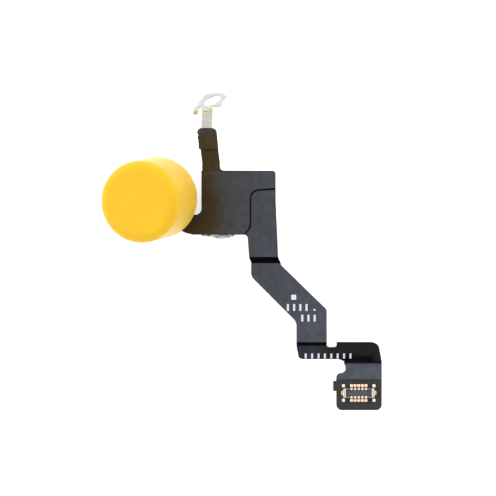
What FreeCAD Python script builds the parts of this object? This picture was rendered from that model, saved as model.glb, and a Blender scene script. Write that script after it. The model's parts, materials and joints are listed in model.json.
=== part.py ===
import FreeCAD, Part
import math
import os

import Sketcher
from FreeCAD import Placement, Rotation, Vector

# Camera-flash flexible circuit of a phone, with the soft cap that protects the flash in transit.
#
# The circuit is drawn as a flat pattern in the plane of its square panel, and each rigid land is then
# placed by folding that pattern at its bend zones. Driving dimensions are in the document's sheet, in
# millimetres and degrees. +Z is up, away from the table that the part lies on, and the origin is at
# the centre of the part's footprint, on that table.

# alias, value, what it is
DRIVING = [
    ("board_height", 2.10, "middle of the flexible circuit above the table, at the panel"),
    ("flex_thickness", 0.14, "flexible circuit with its coverlays"),
    ("film_thickness", 0.05, "matt shielding film on the circuit"),
    ("film_gap", 0.16, "gap between the panel film and the tail film"),
    ("film_inset", 0.03, "film edge inside the circuit edge"),
    ("steel_thickness", 0.20, "stiffener plates"),
    ("panel_width", 7.20, "square panel, left to right"),
    ("panel_height", 6.20, "square panel, bottom to top"),
    ("panel_corner", 0.35, "corner radius of the panel"),
    ("seam_right", 1.42, "film seam at the panel's right edge, above its middle"),
    ("seam_left", 1.25, "film seam's level stretch, above the panel's middle"),
    ("seam_x", 1.07, "film seam's upright stretch, right of the panel's middle"),
    ("seam_turn", -2.42, "where the seam turns towards the bottom edge"),
    ("seam_foot", 0.45, "where the seam meets the bottom edge"),
    ("seam_radius", 0.95, "round turn of the seam"),
    ("strip_left", 0.87, "left edge of the tail where it leaves the panel"),
    ("strip_end", -5.29, "end of the tail's first straight run"),
    ("strip_lean", 0.15, "sideways lean of that run over its length"),
    ("tail_bend_zone", 0.55, "length of the bare bend zone across the tail"),
    ("tail_width", 2.93, "width of the tail"),
    ("tail_left", 1.22, "left edge of the tail below the bend zone"),
    ("tail_shift", 4.39, "sideways step made by the diagonal run"),
    ("tail_knee", -7.17, "where the left edge turns into the diagonal"),
    ("tail_end", -13.54, "end of the lower straight run"),
    ("joggle_angle", 45.0, "slope of the joggle below the tail"),
    ("joggle_radius", 0.40, "bend radius at both ends of the joggle"),
    ("joggle_length", 2.20, "flat length of the joggle between its bends"),
    ("run_height", 1.87, "height of the joggle's sideways run in the flat pattern"),
    ("notch_width", 0.96, "relief notch between the tail and the sideways run"),
    ("notch_depth", 0.32, "relief notch below the bend"),
    ("block_rise", 0.40, "sideways run's top edge above the bend"),
    ("tab_right", 13.92, "right edge of the connector tab"),
    ("tab_neck", 10.42, "left edge of the tab's neck"),
    ("neck_flare", 0.16, "the same edge further left at the bend"),
    ("tab_left", 9.50, "left edge of the tab at the connector"),
    ("tab_length", 4.50, "tab from its bend to its free end"),
    ("tab_corner", 0.55, "corner radius of the tab"),
    ("ear_width", 0.31, "locating ear on the tab's left edge"),
    ("ear_top", 1.66, "ear's upper end below the bend"),
    ("ear_bottom", 2.63, "ear's lower end below the bend"),
    ("plug_x", 11.68, "middle of the board-to-board plug"),
    ("plug_drop", 2.83, "plug's middle below the bend"),
    ("plug_length", 2.90, "plug housing, along its rows"),
    ("plug_width", 0.92, "plug housing, across its rows"),
    ("plug_height", 0.53, "plug housing walls above the circuit"),
    ("plug_floor", 0.20, "plug housing floor above the circuit"),
    ("plug_wall", 0.09, "plug housing long wall"),
    ("contact_pitch", 0.35, "contact spacing"),
    ("contact_width", 0.28, "one signal contact's foot"),
    ("contact_wrap", 0.17, "the same contact where it wraps over the housing's wall"),
    ("contact_sheet", 0.06, "contact metal thickness"),
    ("contact_reach", 0.86, "contact foot's tip from the plug's middle line"),
    ("finger_left", -3.52, "left edge of the ground finger at its root"),
    ("finger_width", 1.72, "ground finger"),
    ("finger_stub", 0.40, "finger's root above the panel's top edge"),
    ("finger_zone", 0.40, "finger's bend zone"),
    ("finger_rise", 4.3, "finger's upward slope"),
    ("finger_length", 3.34, "finger beyond its bend zone"),
    ("finger_lean", 0.42, "finger's sideways lean over that length"),
    ("sleeve_length", 2.06, "textured sleeve over the finger's end"),
    ("sleeve_width", 1.88, "sleeve, a little wider than the finger"),
    ("sleeve_height", 0.24, "sleeve above the circuit"),
    ("sleeve_offset", 0.07, "sleeve's foot left of the finger's middle line"),
    ("stem_overlap", 0.90, "stem soldered to the finger under the sleeve"),
    ("stem_width", 1.06, "ground lug's stem"),
    ("stem_length", 1.88, "stem beyond the sleeve's end"),
    ("stem_offset", 0.08, "ground lug's stem right of the finger's middle line"),
    ("stem_lean", 0.15, "the stem's soldered end beside its middle line"),
    ("lug_sheet", 0.10, "ground lug metal thickness"),
    ("lug_yaw", 22.0, "slant of the lug's fold line"),
    ("lug_angle", 65.0, "fold of the lug's ring below the stem"),
    ("lug_fold_radius", 0.22, "bend radius of that fold"),
    ("ring_hole", 0.86, "screw hole in the lug's ring"),
    ("ring_side", 0.78, "hole beside the stem's middle line"),
    ("ring_reach", 1.12, "hole beyond the fold"),
    ("arm_width", 1.94, "arm from the panel to the flash"),
    ("arm_bend_x", -4.41, "middle of the arm's bend line, left of the panel's middle"),
    ("arm_bend_y", -2.13, "middle of the arm's bend line, below the panel's middle"),
    ("arm_zone", 0.50, "arm's bend zone"),
    ("lean_bearing", 16.0, "the flash leans this far round from straight left"),
    ("flash_tilt", 18.0, "slope of the flash's base"),
    ("flash_reach", 2.53, "flash axis from the arm's bend line"),
    ("flash_offset", 3.45, "flash axis along the arm's bend line"),
    ("flash_pad_radius", 3.30, "round end of the flexible circuit"),
    ("flash_steel_radius", 3.40, "steel disc under it"),
    ("holder_radius", 3.20, "lens holder, outside"),
    ("holder_bore", 2.65, "lens holder, inside at the board"),
    ("holder_height", 2.55, "lens holder above the circuit"),
    ("lens_radius", 2.95, "flash lens"),
    ("lens_seat", 1.60, "lens seat above the circuit"),
    ("lens_thickness", 0.70, "flash lens at its rim"),
    ("seal_radius", 3.36, "rubber seal, outside"),
    ("seal_low", 0.95, "seal's lower edge above the circuit"),
    ("seal_height", 0.55, "rubber seal"),
    ("emitter_board", 3.60, "ceramic board under the light sources, square"),
    ("emitter_board_height", 0.30, "ceramic board thickness"),
    ("emitter_size", 1.05, "one light source, square"),
    ("emitter_height", 0.28, "light source thickness"),
    ("emitter_spacing", 1.35, "light source spacing"),
    ("cap_radius", 3.95, "soft cap, outside"),
    ("cap_wall", 0.48, "soft cap side wall"),
    ("cap_top", 0.60, "soft cap end wall"),
    ("cap_length", 6.40, "soft cap, rim to end"),
    ("cap_round", 0.85, "soft cap, rounding of the closed end"),
    ("cap_rim_gap", 0.08, "cap rim above the circuit"),
    ("mic_length", 2.75, "microphone, left to right"),
    ("mic_width", 1.85, "microphone, bottom to top"),
    ("mic_base_height", 0.25, "microphone's circuit board"),
    ("mic_can_height", 0.75, "microphone's metal can"),
    ("mic_x", -2.02, "microphone's middle, left of the panel's middle"),
    ("mic_y", -2.18, "microphone's middle, below the panel's middle"),
    ("port_radius", 0.30, "sound port in the can"),
    ("gasket_overhang", 0.26, "foam gasket beyond the can"),
    ("gasket_port", 0.60, "sound passage in the gasket"),
    ("ink_thickness", 0.012, "printed marks"),
]

doc = FreeCAD.newDocument("flash_flex")
sheet = doc.addObject("Spreadsheet::Sheet", "Dimensions")


class Size:
    """A number worked out from the sheet, with the expression that binds a property to it."""

    def __init__(self, text, number):
        self.text = text
        self.number = number

    def join(self, other, sign, number):
        return Size(f"({self.text} {sign} {other.text})", number)

    def __add__(self, other):
        other = size(other)
        return self.join(other, "+", self.number + other.number)

    def __sub__(self, other):
        other = size(other)
        return self.join(other, "-", self.number - other.number)

    def __mul__(self, other):
        other = size(other)
        return self.join(other, "*", self.number * other.number)

    def __truediv__(self, other):
        other = size(other)
        return self.join(other, "/", self.number / other.number)

    def __radd__(self, other):
        return size(other) + self

    def __rsub__(self, other):
        return size(other) - self

    def __rmul__(self, other):
        return size(other) * self

    def __neg__(self):
        return Size(f"(0 - {self.text})", -self.number)

    def __float__(self):
        return float(self.number)


def size(value):
    """The value as a Size, so that plain numbers and cells mix in one sum."""
    if isinstance(value, Size):
        return value
    return Size(f"({value})", float(value))


def sine(angle):
    return Size(f"sin({angle.text})", math.sin(math.radians(angle.number)))


def cosine(angle):
    return Size(f"cos({angle.text})", math.cos(math.radians(angle.number)))


def tangent(angle):
    return Size(f"tan({angle.text})", math.tan(math.radians(angle.number)))


class Cells:
    """The sheet's cells by alias: cells.panel_width is the Size in that cell."""

    def __getattr__(self, alias):
        return Size("Dimensions." + alias, float(sheet.get(alias)))


def fill_sheet():
    for row, (alias, value, meaning) in enumerate(DRIVING, start=1):
        sheet.set(f"A{row}", meaning)
        sheet.set(f"B{row}", str(value))
        sheet.setAlias(f"B{row}", alias)
    doc.recompute()


fill_sheet()
cells = Cells()
sub_parts = []
joints = {}
HERE = Placement()


def keep(item, label, place):
    """Names a finished sub-part, puts it in place and lists it for export."""
    item.Label = label
    item.Placement = place
    sub_parts.append(item)
    return item


def bind(item, name, value):
    item.setExpression(name, size(value).text)


def origin_feature(body, role):
    return next(f for f in body.Origin.OriginFeatures if f.Role == role)


def start_body(label):
    return doc.addObject("PartDesign::Body", label + "_body")


def polygon(body, points, plane="XY_Plane", lift=0):
    """A closed sketch through the points, every corner held by the sheet, lifted along the plane's normal."""
    sketch = body.newObject("Sketcher::SketchObject", "outline")
    sketch.AttachmentSupport = (origin_feature(body, plane), "")
    sketch.MapMode = "FlatFace"
    bind(sketch, "AttachmentOffset.Base.z", lift)
    count = len(points)
    spots = [Vector(float(size(p[0])), float(size(p[1])), 0) for p in points]
    for i in range(count):
        sketch.addGeometry(Part.LineSegment(spots[i], spots[(i + 1) % count]), False)
    for i in range(count):
        sketch.addConstraint(Sketcher.Constraint("Coincident", i, 2, (i + 1) % count, 1))
    for i, point in enumerate(points):
        for kind, value, axis in (("DistanceX", point[0], -2), ("DistanceY", point[1], -1)):
            value = size(value)
            if value.number == 0:
                sketch.addConstraint(Sketcher.Constraint("PointOnObject", i, 1, axis))
                continue
            held = sketch.addConstraint(Sketcher.Constraint(kind, -1, 1, i, 1, value.number))
            sketch.setExpression(f"Constraints[{held}]", value.text)
    return sketch


def circle(body, x, y, radius, lift=0):
    """A sketched circle, its centre and radius held by the sheet."""
    sketch = body.newObject("Sketcher::SketchObject", "circle")
    sketch.AttachmentSupport = (origin_feature(body, "XY_Plane"), "")
    sketch.MapMode = "FlatFace"
    bind(sketch, "AttachmentOffset.Base.z", lift)
    x, y, radius = size(x), size(y), size(radius)
    round_line = Part.Circle(Vector(x.number, y.number, 0), Vector(0, 0, 1), radius.number)
    sketch.addGeometry(round_line, False)
    for kind, value, axis in (("DistanceX", x, -2), ("DistanceY", y, -1)):
        if value.number == 0:
            sketch.addConstraint(Sketcher.Constraint("PointOnObject", 0, 3, axis))
            continue
        held = sketch.addConstraint(Sketcher.Constraint(kind, -1, 1, 0, 3, value.number))
        sketch.setExpression(f"Constraints[{held}]", value.text)
    held = sketch.addConstraint(Sketcher.Constraint("Radius", 0, radius.number))
    sketch.setExpression(f"Constraints[{held}]", radius.text)
    return sketch


def pad(body, sketch, length, midplane=False):
    feature = body.newObject("PartDesign::Pad", "pad")
    feature.Profile = sketch
    feature.SideType = 2 if midplane else 0
    bind(feature, "Length", length)
    return feature


def drill(body, sketch, length):
    """Cuts the sketch upwards through the body, and checks that something was cut away."""
    doc.recompute()
    before = body.Shape.Volume
    feature = body.newObject("PartDesign::Pocket", "hole")
    feature.Profile = sketch
    feature.Reversed = True
    bind(feature, "Length", length)
    doc.recompute()
    if not body.Shape.Volume < before:
        raise RuntimeError(f"the hole in {body.Name} cuts nothing")
    return feature


def round_corners(body, feature, corners):
    """Rounds the upright edges of a plate at the (x, y, radius) corners, with one Fillet per radius."""
    radii = {}
    for x, y, radius in corners:
        spots = radii.setdefault(size(radius).text, (size(radius), []))[1]
        spots.append((float(size(x)), float(size(y))))
    for radius, spots in radii.values():
        doc.recompute()
        names = []
        for number, edge in enumerate(feature.Shape.Edges, start=1):
            ends = [v.Point for v in edge.Vertexes]
            if len(ends) != 2 or abs(ends[0].z - ends[1].z) < 1e-4:
                continue
            flat = [(p.x, p.y) for p in ends]
            if any(all(math.dist(f, spot) < 1e-3 for f in flat) for spot in spots):
                names.append(f"Edge{number}")
        if len(names) != len(spots):
            raise RuntimeError(f"{body.Name}: {len(names)} upright edges found for {len(spots)} corners")
        fillet = body.newObject("PartDesign::Fillet", "round")
        fillet.Base = (feature, names)
        bind(fillet, "Radius", radius)
        feature = fillet
    return feature


def plate(label, points, bottom, thickness, place=HERE):
    """A flat plate. A point with a third value is a corner rounded to that radius."""
    body = start_body(label)
    feature = pad(body, polygon(body, points, lift=bottom), thickness)
    round_corners(body, feature, [p for p in points if len(p) == 3])
    return keep(body, label, place)


def rectangle(x, y, half_x, half_y):
    return [
        (x - half_x, y - half_y),
        (x + half_x, y - half_y),
        (x + half_x, y + half_y),
        (x - half_x, y + half_y),
    ]


def block(label, x, y, bottom, length, width, height, place=HERE, corner=0.0):
    """A plate that is a rectangle about (x, y)."""
    x, y, half_x, half_y = size(x), size(y), size(length) / 2, size(width) / 2
    corners = rectangle(x, y, half_x, half_y)
    if corner:
        corners = [(*c, corner) for c in corners]
    return plate(label, corners, bottom, height, place)


def disc(label, radius, bottom, height, place=HERE):
    body = start_body(label)
    pad(body, circle(body, 0, 0, radius, lift=bottom), height)
    return keep(body, label, place)


def turned(label, points, place=HERE, rounding=None):
    """A solid of revolution about Z from (radius, height) points; rounding is one edge and its radius."""
    body = start_body(label)
    feature = body.newObject("PartDesign::Revolution", "turn")
    feature.Profile = polygon(body, points, plane="XZ_Plane")
    feature.ReferenceAxis = (feature.Profile[0], ["V_Axis"])
    feature.Angle = 360
    if rounding:
        doc.recompute()
        radius, height, amount = (size(v) for v in rounding)
        names = [
            f"Edge{n}"
            for n, e in enumerate(feature.Shape.Edges, start=1)
            if isinstance(e.Curve, Part.Circle)
            and abs(e.Curve.Radius - radius.number) < 1e-3
            and abs(e.Curve.Center.z - height.number) < 1e-3
        ]
        fillet = body.newObject("PartDesign::Fillet", "round")
        fillet.Base = (feature, names)
        bind(fillet, "Radius", amount)
    return keep(body, label, place)


def grid(label, x, y, bottom, length, width, height, place, along, step, count):
    """Equal blocks in a row along the body's X or Y axis, as one node of separate solids."""
    item = block(label, x, y, bottom, length, width, height, place)
    repeat(item, [item.Tip], along, step, count)
    return item


def repeat(body, features, along, step, count):
    pattern = body.newObject("PartDesign::LinearPattern", "row")
    pattern.Originals = features
    pattern.Direction = (origin_feature(body, along), [""])
    bind(pattern, "Length", size(step) * (count - 1))
    pattern.Occurrences = count
    body.Tip = pattern


# ---- folding ----------------------------------------------------------------------------------


def fold(name, parent, lay, zone, angle):
    """The placement of the pattern beyond a bend zone, and the zone's centre of curvature.

    lay carries a frame whose origin is on the zone's near edge at mid-thickness, whose -Y runs
    towards the far land and whose X is the bend axis. A positive angle bends downwards.
    """
    zone, angle = float(zone), float(angle)
    turn = math.radians(angle)
    near = parent * lay
    if angle == 0:
        beyond = HERE
        middle = Vector(0, -zone / 2, 0)
    else:
        radius = zone / turn
        reach, drop = radius * math.sin(turn), radius * (1 - math.cos(turn))
        slope = Placement(Vector(0, -reach, -drop), Rotation(Vector(1, 0, 0), angle))
        beyond = slope * Placement(Vector(0, zone, 0), Rotation())
        middle = Vector(0, -radius * math.sin(turn / 2), -radius * (1 - math.cos(turn / 2)))
    joints[name] = {
        "point": near.multVec(middle),
        "axis": near.Rotation.multVec(Vector(1, 0, 0)),
    }
    return parent * lay * beyond * lay.inverse()


def bent_strip(label, parent, lay, left, right, thickness, radius, angle, downwards=True):
    """The curved piece in a bend zone: a rectangle revolved about the bend's centre of curvature."""
    body = start_body(label)
    side = 1 if downwards else -1
    near, far = side * (radius - thickness / 2), side * (radius + thickness / 2)
    feature = body.newObject("PartDesign::Revolution", "bend")
    profile = [(left, near), (right, near), (right, far), (left, far)]
    feature.Profile = polygon(body, profile, "XZ_Plane")
    feature.ReferenceAxis = (feature.Profile[0], ["H_Axis"])
    feature.Reversed = not downwards
    bind(feature, "Angle", angle)
    centre = Placement(Vector(0, 0, -side * radius.number), Rotation())
    return keep(body, label, parent * lay * centre)


def at(x, y, z, turn=0.0):
    """A frame at a point of the flat pattern, turned about Z."""
    return Placement(Vector(float(size(x)), float(size(y)), float(size(z))), Rotation(Vector(0, 0, 1), turn))


level = cells.board_height
half_flex = cells.flex_thickness / 2
half_width = cells.panel_width / 2
half_height = cells.panel_height / 2
flex_bottom = level - half_flex
flex_top = level + half_flex
HALF_TURN = 180.0

# The arm's bend line: n points the way the flash leans, p runs along the line.
lean_x, lean_y = -cosine(cells.lean_bearing), -sine(cells.lean_bearing)
along_x, along_y = -sine(cells.lean_bearing), cosine(cells.lean_bearing)
arm_bottom = -half_height
arm_top = arm_bottom + cells.arm_width


def on_arm_line(distance, y):
    """The x of a line parallel to the arm's bend line, that far towards the flash from it, at height y."""
    return cells.arm_bend_x - (distance + (size(y) - cells.arm_bend_y) * sine(cells.lean_bearing)) / cosine(
        cells.lean_bearing
    )


arm_near = -cells.arm_zone / 2
arm_far = cells.arm_zone / 2
# This frame's -Y points the way the flash leans.
arm_lay = at(
    cells.arm_bend_x + arm_near * lean_x,
    cells.arm_bend_y + arm_near * lean_y,
    level,
    float(cells.lean_bearing) - HALF_TURN / 2,
)
flash_place = fold("arm_bend", HERE, arm_lay, cells.arm_zone, cells.flash_tilt)
flash_x = cells.arm_bend_x + cells.flash_reach * lean_x + cells.flash_offset * along_x
flash_y = cells.arm_bend_y + cells.flash_reach * lean_y + cells.flash_offset * along_y
# Flash pieces are drawn about their own axis, with height 0 at the middle of the flexible circuit.
flash_axis = flash_place * at(flash_x, flash_y, level)

finger_root = half_height + cells.finger_stub
finger_lay = at(0, finger_root, level, HALF_TURN)
finger_place = fold("finger_bend", HERE, finger_lay, cells.finger_zone, -cells.finger_rise)
finger_start = finger_root + cells.finger_zone
finger_end = finger_start + cells.finger_length
finger_x = cells.finger_left + cells.finger_width / 2 - cells.finger_lean
stem_x = finger_x + cells.stem_offset
stem_end = finger_end + cells.stem_length - cells.stem_width / 2 * tangent(cells.lug_yaw)
stem_level = flex_top + cells.lug_sheet / 2
lug_zone = cells.lug_fold_radius * cells.lug_angle * (math.pi / HALF_TURN)
lug_lay = at(stem_x, stem_end, stem_level, float(cells.lug_yaw) + HALF_TURN)
lug_place = fold("lug_bend", finger_place, lug_lay, lug_zone, cells.lug_angle)

tail_lay = at(0, cells.strip_end, level)
tail_place = fold("tail_bend", HERE, tail_lay, cells.tail_bend_zone, 0)
tail_start = cells.strip_end - cells.tail_bend_zone

bend_arc = cells.joggle_radius * cells.joggle_angle * (math.pi / HALF_TURN)
joggle_lay = at(0, cells.tail_end, level)
joggle_place = fold("joggle_bend", tail_place, joggle_lay, bend_arc, cells.joggle_angle)
joggle_start = cells.tail_end - bend_arc
joggle_end = joggle_start - cells.joggle_length

tab_lay = at(0, joggle_end, level)
tab_place = fold("connector_bend", joggle_place, tab_lay, bend_arc, -cells.joggle_angle)
tab_start = joggle_end - bend_arc


def flex_panel():
    """The circuit's square land, with the roots of its arm, finger and tail."""
    return plate(
        "flex_panel",
        [
            (-half_width, half_height, 0.04),
            (cells.finger_left, half_height),
            (cells.finger_left, finger_root),
            (cells.finger_left + cells.finger_width, finger_root),
            (cells.finger_left + cells.finger_width, half_height, 0.38),
            (half_width, half_height, cells.panel_corner),
            (half_width, 0.25),
            (half_width + cells.strip_lean * 1.6, cells.strip_end),
            (cells.strip_left + cells.strip_lean, cells.strip_end),
            (cells.strip_left, arm_bottom, cells.panel_corner),
            (on_arm_line(arm_near, arm_bottom), arm_bottom),
            (on_arm_line(arm_near, arm_top), arm_top),
            (-half_width, arm_top, 0.55),
        ],
        flex_bottom,
        cells.flex_thickness,
    )


def panel_film():
    """Matt film on the panel's left and top, up to the round-cornered seam."""
    inset = cells.film_inset
    return plate(
        "panel_film",
        [
            (-half_width + inset, half_height - inset, 0.08),
            (half_width - inset, half_height - inset, cells.panel_corner),
            (half_width - inset, cells.seam_right),
            (cells.seam_x, cells.seam_left, cells.seam_radius),
            (cells.seam_x, cells.seam_turn, 0.9),
            (cells.seam_foot, arm_bottom + inset),
            (on_arm_line(arm_near, arm_bottom) + 0.1, arm_bottom + inset),
            (on_arm_line(arm_near, arm_top) + 0.1, arm_top - inset),
            (-half_width + inset, arm_top - inset, 0.55),
        ],
        flex_top,
        cells.film_thickness,
    )


def tail_root_film():
    """Matt film on the tail's first run, fitted into the panel film's corner."""
    gap, inset = cells.film_gap, cells.film_inset
    return plate(
        "tail_root_film",
        [
            (half_width - inset, cells.seam_right - gap - 0.04),
            (cells.seam_x + gap, cells.seam_left - gap, cells.seam_radius - gap),
            (cells.seam_x + gap, cells.seam_turn, 0.8),
            (cells.seam_foot + gap * 1.4, arm_bottom + inset),
            (cells.strip_left + inset, arm_bottom + inset, 0.16),
            (cells.strip_left + cells.strip_lean + inset, cells.strip_end + inset),
            (half_width + cells.strip_lean * 1.6 - inset, cells.strip_end + inset),
            (half_width - inset, 0.25),
        ],
        flex_top,
        cells.film_thickness,
    )


def tail_bend_strip():
    """The bare, glossy bend zone between the tail's first run and its diagonal."""
    return plate(
        "tail_bend_strip",
        [
            (cells.strip_left + cells.strip_lean, cells.strip_end),
            (half_width + cells.strip_lean * 1.6, cells.strip_end),
            (cells.tail_left + cells.tail_width - 0.06, tail_start),
            (cells.tail_left, tail_start),
        ],
        flex_bottom,
        cells.flex_thickness,
    )


def tail_outline(top, bottom, inset):
    """The diagonal run with its two straight ends, between two heights."""
    left, right = cells.tail_left + inset, cells.tail_left + cells.tail_width - inset
    half_turn_in = inset * (math.sqrt(2) - 1)
    diagonal_drop = cells.tail_width * (math.sqrt(2) - 1)
    knee = cells.tail_knee - half_turn_in
    return [
        (right - 0.06, top),
        (right - 0.06, knee + diagonal_drop + 2 * half_turn_in - 0.06, 0.2),
        (right + cells.tail_shift, knee + diagonal_drop - cells.tail_shift + 2 * half_turn_in, 0.35),
        (right + cells.tail_shift, bottom),
        (left + cells.tail_shift, bottom),
        (left + cells.tail_shift, knee - cells.tail_shift, 0.9),
        (left, knee, 0.9),
        (left, top),
    ]


def tail():
    outline = tail_outline(tail_start, cells.tail_end, size(0))
    plate("flex_tail", outline, flex_bottom, cells.flex_thickness, tail_place)
    inset = cells.film_inset
    outline = tail_outline(tail_start - inset, cells.tail_end + inset, inset)
    plate("tail_film", outline, flex_top, cells.film_thickness, tail_place)


def joggle():
    """The sloping land between the two lower bends, with its sideways run and relief notch."""
    left = cells.tail_left + cells.tail_shift
    right = left + cells.tail_width
    notch_right = right + cells.notch_width
    floor = joggle_start - cells.notch_depth
    neck = cells.tab_neck - cells.neck_flare
    bent_strip(
        "joggle_bend_strip", tail_place, joggle_lay, left, right,
        cells.flex_thickness, cells.joggle_radius, cells.joggle_angle,
    )
    plate(
        "flex_joggle",
        [
            (left, joggle_start),
            (left + 0.25, joggle_start - cells.run_height, 0.5),
            (neck - 0.46, joggle_start - cells.run_height, 0.5),
            (neck, joggle_end),
            (cells.tab_right, joggle_end),
            (cells.tab_right - 0.4, joggle_start + cells.block_rise, 0.9),
            (notch_right, joggle_start + cells.block_rise, 0.06),
            (notch_right, floor, 0.3),
            (right, floor, 0.3),
            (right, joggle_start),
        ],
        flex_bottom,
        cells.flex_thickness,
        joggle_place,
    )
    bent_strip(
        "connector_bend_strip", joggle_place, tab_lay, neck, cells.tab_right,
        cells.flex_thickness, cells.joggle_radius, cells.joggle_angle, downwards=False,
    )


def tab_outline(top, inset, flare):
    """The connector tab's edge, from its right edge round its curved neck to the connector."""
    return [
        (cells.tab_right - inset, top),
        (cells.tab_neck + inset - flare, top),
        (cells.tab_neck + inset, tab_start - 0.28, 0.4),
        (cells.tab_neck + inset, tab_start - 0.78 - inset, 0.4),
        (cells.tab_left + inset, tab_start - 0.98 - inset, 0.45),
    ]


def connector_tab():
    left, right = cells.tab_left, cells.tab_right
    end = tab_start - cells.tab_length
    plate(
        "flex_connector_tab",
        tab_outline(tab_start, size(0), cells.neck_flare)
        + [
            (left, tab_start - cells.ear_top),
            (left - cells.ear_width, tab_start - cells.ear_top, 0.05),
            (left - cells.ear_width, tab_start - cells.ear_bottom, 0.05),
            (left, tab_start - cells.ear_bottom),
            (left, end, cells.tab_corner),
            (right, end, cells.tab_corner),
        ],
        flex_bottom,
        cells.flex_thickness,
        tab_place,
    )
    inset = cells.film_inset
    film_end = tab_start - 1.50
    outline = tab_outline(tab_start - 0.14, inset, cells.neck_flare / 2)
    outline += [(left + inset, film_end), (right - inset, film_end)]
    plate("connector_tab_film", outline, flex_top, cells.film_thickness, tab_place)
    bends_drop = 2 * cells.joggle_radius * (1 - cosine(cells.joggle_angle))
    drop = bends_drop + cells.joggle_length * sine(cells.joggle_angle)
    plate(
        "connector_stiffener",
        [
            (left + 0.06, tab_start - 1.50),
            (left + 0.06, end + 0.06, cells.tab_corner),
            (right - 0.06, end + 0.06, cells.tab_corner),
            (right - 0.06, tab_start - 1.50),
        ],
        drop,
        flex_bottom - drop,
        tab_place,
    )


def plug():
    """The board-to-board plug: a tub of moulded plastic, two rows of contacts and two end fittings."""
    place = tab_place * at(cells.plug_x, tab_start - cells.plug_drop, flex_top)
    turned_round = place * at(0, 0, 0, HALF_TURN)
    half_length, half_plug = cells.plug_length / 2, cells.plug_width / 2
    body = start_body("plug_housing")
    pad(body, polygon(body, rectangle(0, 0, half_length, half_plug), lift=0), cells.plug_height)
    wall = cells.plug_wall
    end_wall = 1.5 * wall
    inner = rectangle(0, 0, half_length - end_wall, half_plug - wall)
    drill(body, polygon(body, inner, lift=cells.plug_floor), cells.plug_height)
    keep(body, "plug_housing", place)

    metal, clear = cells.contact_sheet, 0.01
    wall_out, wall_in = half_plug + clear, half_plug - wall - clear
    foot = [(wall_out, 0), (cells.contact_reach, 0), (cells.contact_reach, metal), (wall_out, metal)]
    wrap = [
        (wall_out + metal, 0),
        (wall_out + metal, cells.plug_height + clear + metal),
        (wall_in - metal, cells.plug_height + clear + metal),
        (wall_in - metal, cells.plug_floor + clear),
        (wall_in, cells.plug_floor + clear),
        (wall_in, cells.plug_height + clear),
        (wall_out, cells.plug_height + clear),
        (wall_out, 0),
    ]
    for label, side in (("plug_contacts_upper", place), ("plug_contacts_lower", turned_round)):
        row = start_body(label)
        first = -2 * cells.contact_pitch
        features = [
            pad(row, polygon(row, foot, "YZ_Plane", first), cells.contact_width, True),
            pad(row, polygon(row, wrap, "YZ_Plane", first), cells.contact_wrap, True),
        ]
        repeat(row, features, "X_Axis", cells.contact_pitch, 5)
        keep(row, label, side)

    # Each end fitting wraps over the housing's end wall, with a narrower foot on the circuit.
    outside, inside = half_length + clear, half_length - end_wall - clear
    wrap_top = cells.plug_height + clear
    over = [
        (outside, 0),
        (outside + metal, 0),
        (outside + metal, wrap_top + metal),
        (inside - metal, wrap_top + metal),
        (inside - metal, wrap_top),
        (outside, wrap_top),
    ]
    leg = [
        (inside - metal, cells.plug_floor + clear),
        (inside, cells.plug_floor + clear),
        (inside, wrap_top),
        (inside - metal, wrap_top),
    ]
    foot = [(outside, 0), (half_length + 0.28, 0), (half_length + 0.28, metal), (outside, metal)]
    for label, side in (("plug_end_fitting_right", place), ("plug_end_fitting_left", turned_round)):
        end = start_body(label)
        pad(end, polygon(end, over, "XZ_Plane"), cells.plug_width - 0.06, True)
        pad(end, polygon(end, leg, "XZ_Plane"), cells.plug_width - 2 * wall - 2 * clear, True)
        pad(end, polygon(end, foot, "XZ_Plane"), cells.plug_width / 2, True)
        keep(end, label, side)
    for label, side in (("solder_pads_right", place), ("solder_pads_left", turned_round)):
        grid(label, half_length + 0.03, -0.70, 0, 0.28, 0.28, 0.03, side, "Y_Axis", 1.40, 2)


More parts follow.
